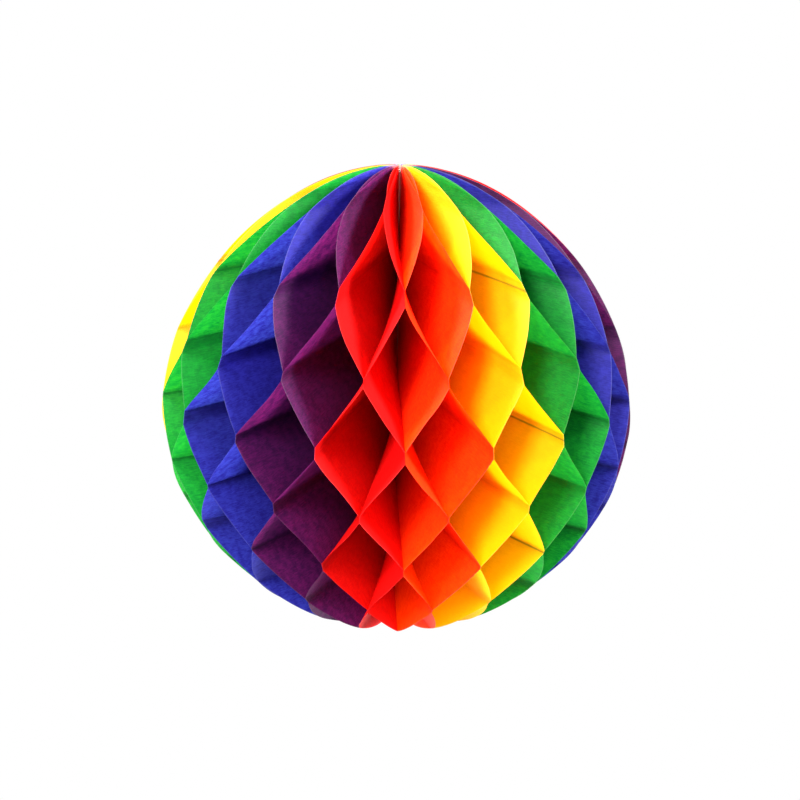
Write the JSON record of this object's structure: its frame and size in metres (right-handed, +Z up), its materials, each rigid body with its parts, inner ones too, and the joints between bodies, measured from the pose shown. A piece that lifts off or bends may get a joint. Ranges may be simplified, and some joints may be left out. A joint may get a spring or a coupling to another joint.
{
  "type": "paper honeycomb ball",
  "caption": "Hanging ball of rainbow tissue paper whose glued half-disc leaves open into honeycomb cells and fold flat between card covers.",
  "frame": {"origin": "centre of the opened ball, on the spine that all leaves turn about", "axes": "+Z up along the spine to the hanging point, the seam between the two covers towards +Y, the side seen from the front towards -Y"},
  "size_m": [0.2977, 0.2982, 0.2994],
  "materials": {
    "tissue_red": "matte",
    "tissue_orange": "matte",
    "tissue_yellow": "matte",
    "tissue_green": "matte",
    "tissue_blue": "matte",
    "tissue_purple": "matte",
    "card": "matte",
    "glue": "satin",
    "thread": "matte",
    "sticky": "satin"
  },
  "bodies": {
    "root": {"cover_a": "card", "spine_glue_bead": "glue", "thread_tie_top": "thread", "thread_tie_bottom": "thread", "sticky_dot_top": "sticky", "sticky_dot_middle": "sticky", "sticky_dot_bottom": "sticky"},
    "cover_b": {"cover_b": "card"},
    "leaf_01": {"leaf_01_green": "tissue_green"},
    "leaf_02": {"leaf_02_green": "tissue_green"},
    "leaf_03": {"leaf_03_blue": "tissue_blue"},
    "leaf_04": {"leaf_04_blue": "tissue_blue"},
    "leaf_05": {"leaf_05_purple": "tissue_purple"},
    "leaf_06": {"leaf_06_purple": "tissue_purple"},
    "leaf_07": {"leaf_07_red": "tissue_red"},
    "leaf_08": {"leaf_08_red": "tissue_red"},
    "leaf_09": {"leaf_09_orange": "tissue_orange"},
    "leaf_10": {"leaf_10_orange": "tissue_orange"},
    "leaf_11": {"leaf_11_yellow": "tissue_yellow"},
    "leaf_12": {"leaf_12_yellow": "tissue_yellow"},
    "leaf_13": {"leaf_13_green": "tissue_green"},
    "leaf_14": {"leaf_14_green": "tissue_green"},
    "leaf_15": {"leaf_15_blue": "tissue_blue"},
    "leaf_16": {"leaf_16_blue": "tissue_blue"},
    "leaf_17": {"leaf_17_purple": "tissue_purple"},
    "leaf_18": {"leaf_18_purple": "tissue_purple"},
    "leaf_19": {"leaf_19_red": "tissue_red"},
    "leaf_20": {"leaf_20_red": "tissue_red"},
    "leaf_21": {"leaf_21_orange": "tissue_orange"},
    "leaf_22": {"leaf_22_orange": "tissue_orange"},
    "leaf_23": {"leaf_23_yellow": "tissue_yellow"},
    "leaf_24": {"leaf_24_yellow": "tissue_yellow"},
    "leaf_25": {"leaf_25_green": "tissue_green"},
    "leaf_26": {"leaf_26_green": "tissue_green"},
    "leaf_27": {"leaf_27_blue": "tissue_blue"},
    "leaf_28": {"leaf_28_blue": "tissue_blue"},
    "leaf_29": {"leaf_29_purple": "tissue_purple"},
    "leaf_30": {"leaf_30_purple": "tissue_purple"},
    "leaf_31": {"leaf_31_red": "tissue_red"},
    "leaf_32": {"leaf_32_red": "tissue_red"},
    "leaf_33": {"leaf_33_orange": "tissue_orange"},
    "leaf_34": {"leaf_34_orange": "tissue_orange"},
    "leaf_35": {"leaf_35_yellow": "tissue_yellow"},
    "leaf_36": {"leaf_36_yellow": "tissue_yellow"},
    "leaf_37": {"leaf_37_green": "tissue_green"},
    "leaf_38": {"leaf_38_green": "tissue_green"},
    "leaf_39": {"leaf_39_blue": "tissue_blue"},
    "leaf_40": {"leaf_40_blue": "tissue_blue"}
  },
  "joints": [
    {"name": "fan_fold", "type": "hinge", "parent": "root", "child": "cover_b", "pos_m": [0, 0, 0], "axis": [0, 0, 1], "range_deg": [-353, 0]},
    {"name": "leaf_01_fold", "type": "hinge", "parent": "root", "child": "leaf_01", "pos_m": [0, 0, 0], "axis": [0, 0, 1], "range_deg": [-4.46, 0], "deforming": ["leaf_01_green"]},
    {"name": "leaf_02_fold", "type": "hinge", "parent": "root", "child": "leaf_02", "pos_m": [0, 0, 0], "axis": [0, 0, 1], "range_deg": [-13.39, 0], "deforming": ["leaf_02_green"]},
    {"name": "leaf_03_fold", "type": "hinge", "parent": "root", "child": "leaf_03", "pos_m": [0, 0, 0], "axis": [0, 0, 1], "range_deg": [-22.42, 0], "deforming": ["leaf_03_blue"]},
    {"name": "leaf_04_fold", "type": "hinge", "parent": "root", "child": "leaf_04", "pos_m": [0, 0, 0], "axis": [0, 0, 1], "range_deg": [-31.55, 0], "deforming": ["leaf_04_blue"]},
    {"name": "leaf_05_fold", "type": "hinge", "parent": "root", "child": "leaf_05", "pos_m": [0, 0, 0], "axis": [0, 0, 1], "range_deg": [-40.77, 0], "deforming": ["leaf_05_purple"]},
    {"name": "leaf_06_fold", "type": "hinge", "parent": "root", "child": "leaf_06", "pos_m": [0, 0, 0], "axis": [0, 0, 1], "range_deg": [-50.08, 0], "deforming": ["leaf_06_purple"]},
    {"name": "leaf_07_fold", "type": "hinge", "parent": "root", "child": "leaf_07", "pos_m": [0, 0, 0], "axis": [0, 0, 1], "range_deg": [-59.45, 0], "deforming": ["leaf_07_red"]},
    {"name": "leaf_08_fold", "type": "hinge", "parent": "root", "child": "leaf_08", "pos_m": [0, 0, 0], "axis": [0, 0, 1], "range_deg": [-68.88, 0], "deforming": ["leaf_08_red"]},
    {"name": "leaf_09_fold", "type": "hinge", "parent": "root", "child": "leaf_09", "pos_m": [0, 0, 0], "axis": [0, 0, 1], "range_deg": [-78.35, 0], "deforming": ["leaf_09_orange"]},
    {"name": "leaf_10_fold", "type": "hinge", "parent": "root", "child": "leaf_10", "pos_m": [0, 0, 0], "axis": [0, 0, 1], "range_deg": [-87.84, 0], "deforming": ["leaf_10_orange"]},
    {"name": "leaf_11_fold", "type": "hinge", "parent": "root", "child": "leaf_11", "pos_m": [0, 0, 0], "axis": [0, 0, 1], "range_deg": [-97.34, 0], "deforming": ["leaf_11_yellow"]},
    {"name": "leaf_12_fold", "type": "hinge", "parent": "root", "child": "leaf_12", "pos_m": [0, 0, 0], "axis": [0, 0, 1], "range_deg": [-106.84, 0], "deforming": ["leaf_12_yellow"]},
    {"name": "leaf_13_fold", "type": "hinge", "parent": "root", "child": "leaf_13", "pos_m": [0, 0, 0], "axis": [0, 0, 1], "range_deg": [-116.3, 0], "deforming": ["leaf_13_green"]},
    {"name": "leaf_14_fold", "type": "hinge", "parent": "root", "child": "leaf_14", "pos_m": [0, 0, 0], "axis": [0, 0, 1], "range_deg": [-125.73, 0], "deforming": ["leaf_14_green"]},
    {"name": "leaf_15_fold", "type": "hinge", "parent": "root", "child": "leaf_15", "pos_m": [0, 0, 0], "axis": [0, 0, 1], "range_deg": [-135.1, 0], "deforming": ["leaf_15_blue"]},
    {"name": "leaf_16_fold", "type": "hinge", "parent": "root", "child": "leaf_16", "pos_m": [0, 0, 0], "axis": [0, 0, 1], "range_deg": [-144.41, 0], "deforming": ["leaf_16_blue"]},
    {"name": "leaf_17_fold", "type": "hinge", "parent": "root", "child": "leaf_17", "pos_m": [0, 0, 0], "axis": [0, 0, 1], "range_deg": [-153.63, 0], "deforming": ["leaf_17_purple"]},
    {"name": "leaf_18_fold", "type": "hinge", "parent": "root", "child": "leaf_18", "pos_m": [0, 0, 0], "axis": [0, 0, 1], "range_deg": [-162.76, 0], "deforming": ["leaf_18_purple"]},
    {"name": "leaf_19_fold", "type": "hinge", "parent": "root", "child": "leaf_19", "pos_m": [0, 0, 0], "axis": [0, 0, 1], "range_deg": [-171.8, 0], "deforming": ["leaf_19_red"]},
    {"name": "leaf_20_fold", "type": "hinge", "parent": "root", "child": "leaf_20", "pos_m": [0, 0, 0], "axis": [0, 0, 1], "range_deg": [-180.73, 0], "deforming": ["leaf_20_red"]},
    {"name": "leaf_21_fold", "type": "hinge", "parent": "root", "child": "leaf_21", "pos_m": [0, 0, 0], "axis": [0, 0, 1], "range_deg": [-189.55, 0], "deforming": ["leaf_21_orange"]},
    {"name": "leaf_22_fold", "type": "hinge", "parent": "root", "child": "leaf_22", "pos_m": [0, 0, 0], "axis": [0, 0, 1], "range_deg": [-198.27, 0], "deforming": ["leaf_22_orange"]},
    {"name": "leaf_23_fold", "type": "hinge", "parent": "root", "child": "leaf_23", "pos_m": [0, 0, 0], "axis": [0, 0, 1], "range_deg": [-206.89, 0], "deforming": ["leaf_23_yellow"]},
    {"name": "leaf_24_fold", "type": "hinge", "parent": "root", "child": "leaf_24", "pos_m": [0, 0, 0], "axis": [0, 0, 1], "range_deg": [-215.41, 0], "deforming": ["leaf_24_yellow"]},
    {"name": "leaf_25_fold", "type": "hinge", "parent": "root", "child": "leaf_25", "pos_m": [0, 0, 0], "axis": [0, 0, 1], "range_deg": [-223.83, 0], "deforming": ["leaf_25_green"]},
    {"name": "leaf_26_fold", "type": "hinge", "parent": "root", "child": "leaf_26", "pos_m": [0, 0, 0], "axis": [0, 0, 1], "range_deg": [-232.18, 0], "deforming": ["leaf_26_green"]},
    {"name": "leaf_27_fold", "type": "hinge", "parent": "root", "child": "leaf_27", "pos_m": [0, 0, 0], "axis": [0, 0, 1], "range_deg": [-240.46, 0], "deforming": ["leaf_27_blue"]},
    {"name": "leaf_28_fold", "type": "hinge", "parent": "root", "child": "leaf_28", "pos_m": [0, 0, 0], "axis": [0, 0, 1], "range_deg": [-248.68, 0], "deforming": ["leaf_28_blue"]},
    {"name": "leaf_29_fold", "type": "hinge", "parent": "root", "child": "leaf_29", "pos_m": [0, 0, 0], "axis": [0, 0, 1], "range_deg": [-256.86, 0], "deforming": ["leaf_29_purple"]},
    {"name": "leaf_30_fold", "type": "hinge", "parent": "root", "child": "leaf_30", "pos_m": [0, 0, 0], "axis": [0, 0, 1], "range_deg": [-265.02, 0], "deforming": ["leaf_30_purple"]},
    {"name": "leaf_31_fold", "type": "hinge", "parent": "root", "child": "leaf_31", "pos_m": [0, 0, 0], "axis": [0, 0, 1], "range_deg": [-273.17, 0], "deforming": ["leaf_31_red"]},
    {"name": "leaf_32_fold", "type": "hinge", "parent": "root", "child": "leaf_32", "pos_m": [0, 0, 0], "axis": [0, 0, 1], "range_deg": [-281.32, 0], "deforming": ["leaf_32_red"]},
    {"name": "leaf_33_fold", "type": "hinge", "parent": "root", "child": "leaf_33", "pos_m": [0, 0, 0], "axis": [0, 0, 1], "range_deg": [-289.5, 0], "deforming": ["leaf_33_orange"]},
    {"name": "leaf_34_fold", "type": "hinge", "parent": "root", "child": "leaf_34", "pos_m": [0, 0, 0], "axis": [0, 0, 1], "range_deg": [-297.72, 0], "deforming": ["leaf_34_orange"]},
    {"name": "leaf_35_fold", "type": "hinge", "parent": "root", "child": "leaf_35", "pos_m": [0, 0, 0], "axis": [0, 0, 1], "range_deg": [-306, 0], "deforming": ["leaf_35_yellow"]},
    {"name": "leaf_36_fold", "type": "hinge", "parent": "root", "child": "leaf_36", "pos_m": [0, 0, 0], "axis": [0, 0, 1], "range_deg": [-314.35, 0], "deforming": ["leaf_36_yellow"]},
    {"name": "leaf_37_fold", "type": "hinge", "parent": "root", "child": "leaf_37", "pos_m": [0, 0, 0], "axis": [0, 0, 1], "range_deg": [-322.78, 0], "deforming": ["leaf_37_green"]},
    {"name": "leaf_38_fold", "type": "hinge", "parent": "root", "child": "leaf_38", "pos_m": [0, 0, 0], "axis": [0, 0, 1], "range_deg": [-331.29, 0], "deforming": ["leaf_38_green"]},
    {"name": "leaf_39_fold", "type": "hinge", "parent": "root", "child": "leaf_39", "pos_m": [0, 0, 0], "axis": [0, 0, 1], "range_deg": [-339.91, 0], "deforming": ["leaf_39_blue"]},
    {"name": "leaf_40_fold", "type": "hinge", "parent": "root", "child": "leaf_40", "pos_m": [0, 0, 0], "axis": [0, 0, 1], "range_deg": [-348.63, 0], "deforming": ["leaf_40_blue"]}
  ],
  "couplings": [
    {"joint": "leaf_01_fold", "follows": "fan_fold", "ratio": 0.01258},
    {"joint": "leaf_02_fold", "follows": "fan_fold", "ratio": 0.03788},
    {"joint": "leaf_03_fold", "follows": "fan_fold", "ratio": 0.06347},
    {"joint": "leaf_04_fold", "follows": "fan_fold", "ratio": 0.08934},
    {"joint": "leaf_05_fold", "follows": "fan_fold", "ratio": 0.11546},
    {"joint": "leaf_06_fold", "follows": "fan_fold", "ratio": 0.14182},
    {"joint": "leaf_07_fold", "follows": "fan_fold", "ratio": 0.16837},
    {"joint": "leaf_08_fold", "follows": "fan_fold", "ratio": 0.19508},
    {"joint": "leaf_09_fold", "follows": "fan_fold", "ratio": 0.2219},
    {"joint": "leaf_10_fold", "follows": "fan_fold", "ratio": 0.2488},
    {"joint": "leaf_11_fold", "follows": "fan_fold", "ratio": 0.27571},
    {"joint": "leaf_12_fold", "follows": "fan_fold", "ratio": 0.30261},
    {"joint": "leaf_13_fold", "follows": "fan_fold", "ratio": 0.32943},
    {"joint": "leaf_14_fold", "follows": "fan_fold", "ratio": 0.35614},
    {"joint": "leaf_15_fold", "follows": "fan_fold", "ratio": 0.38269},
    {"joint": "leaf_16_fold", "follows": "fan_fold", "ratio": 0.40904},
    {"joint": "leaf_17_fold", "follows": "fan_fold", "ratio": 0.43517},
    {"joint": "leaf_18_fold", "follows": "fan_fold", "ratio": 0.46104},
    {"joint": "leaf_19_fold", "follows": "fan_fold", "ratio": 0.48663},
    {"joint": "leaf_20_fold", "follows": "fan_fold", "ratio": 0.51193},
    {"joint": "leaf_21_fold", "follows": "fan_fold", "ratio": 0.53693},
    {"joint": "leaf_22_fold", "follows": "fan_fold", "ratio": 0.56163},
    {"joint": "leaf_23_fold", "follows": "fan_fold", "ratio": 0.58604},
    {"joint": "leaf_24_fold", "follows": "fan_fold", "ratio": 0.61017},
    {"joint": "leaf_25_fold", "follows": "fan_fold", "ratio": 0.63404},
    {"joint": "leaf_26_fold", "follows": "fan_fold", "ratio": 0.65769},
    {"joint": "leaf_27_fold", "follows": "fan_fold", "ratio": 0.68114},
    {"joint": "leaf_28_fold", "follows": "fan_fold", "ratio": 0.70443},
    {"joint": "leaf_29_fold", "follows": "fan_fold", "ratio": 0.72761},
    {"joint": "leaf_30_fold", "follows": "fan_fold", "ratio": 0.75071},
    {"joint": "leaf_31_fold", "follows": "fan_fold", "ratio": 0.7738},
    {"joint": "leaf_32_fold", "follows": "fan_fold", "ratio": 0.7969},
    {"joint": "leaf_33_fold", "follows": "fan_fold", "ratio": 0.82008},
    {"joint": "leaf_34_fold", "follows": "fan_fold", "ratio": 0.84337},
    {"joint": "leaf_35_fold", "follows": "fan_fold", "ratio": 0.86682},
    {"joint": "leaf_36_fold", "follows": "fan_fold", "ratio": 0.89046},
    {"joint": "leaf_37_fold", "follows": "fan_fold", "ratio": 0.91434},
    {"joint": "leaf_38_fold", "follows": "fan_fold", "ratio": 0.93847},
    {"joint": "leaf_39_fold", "follows": "fan_fold", "ratio": 0.96288},
    {"joint": "leaf_40_fold", "follows": "fan_fold", "ratio": 0.98758}
  ]
}
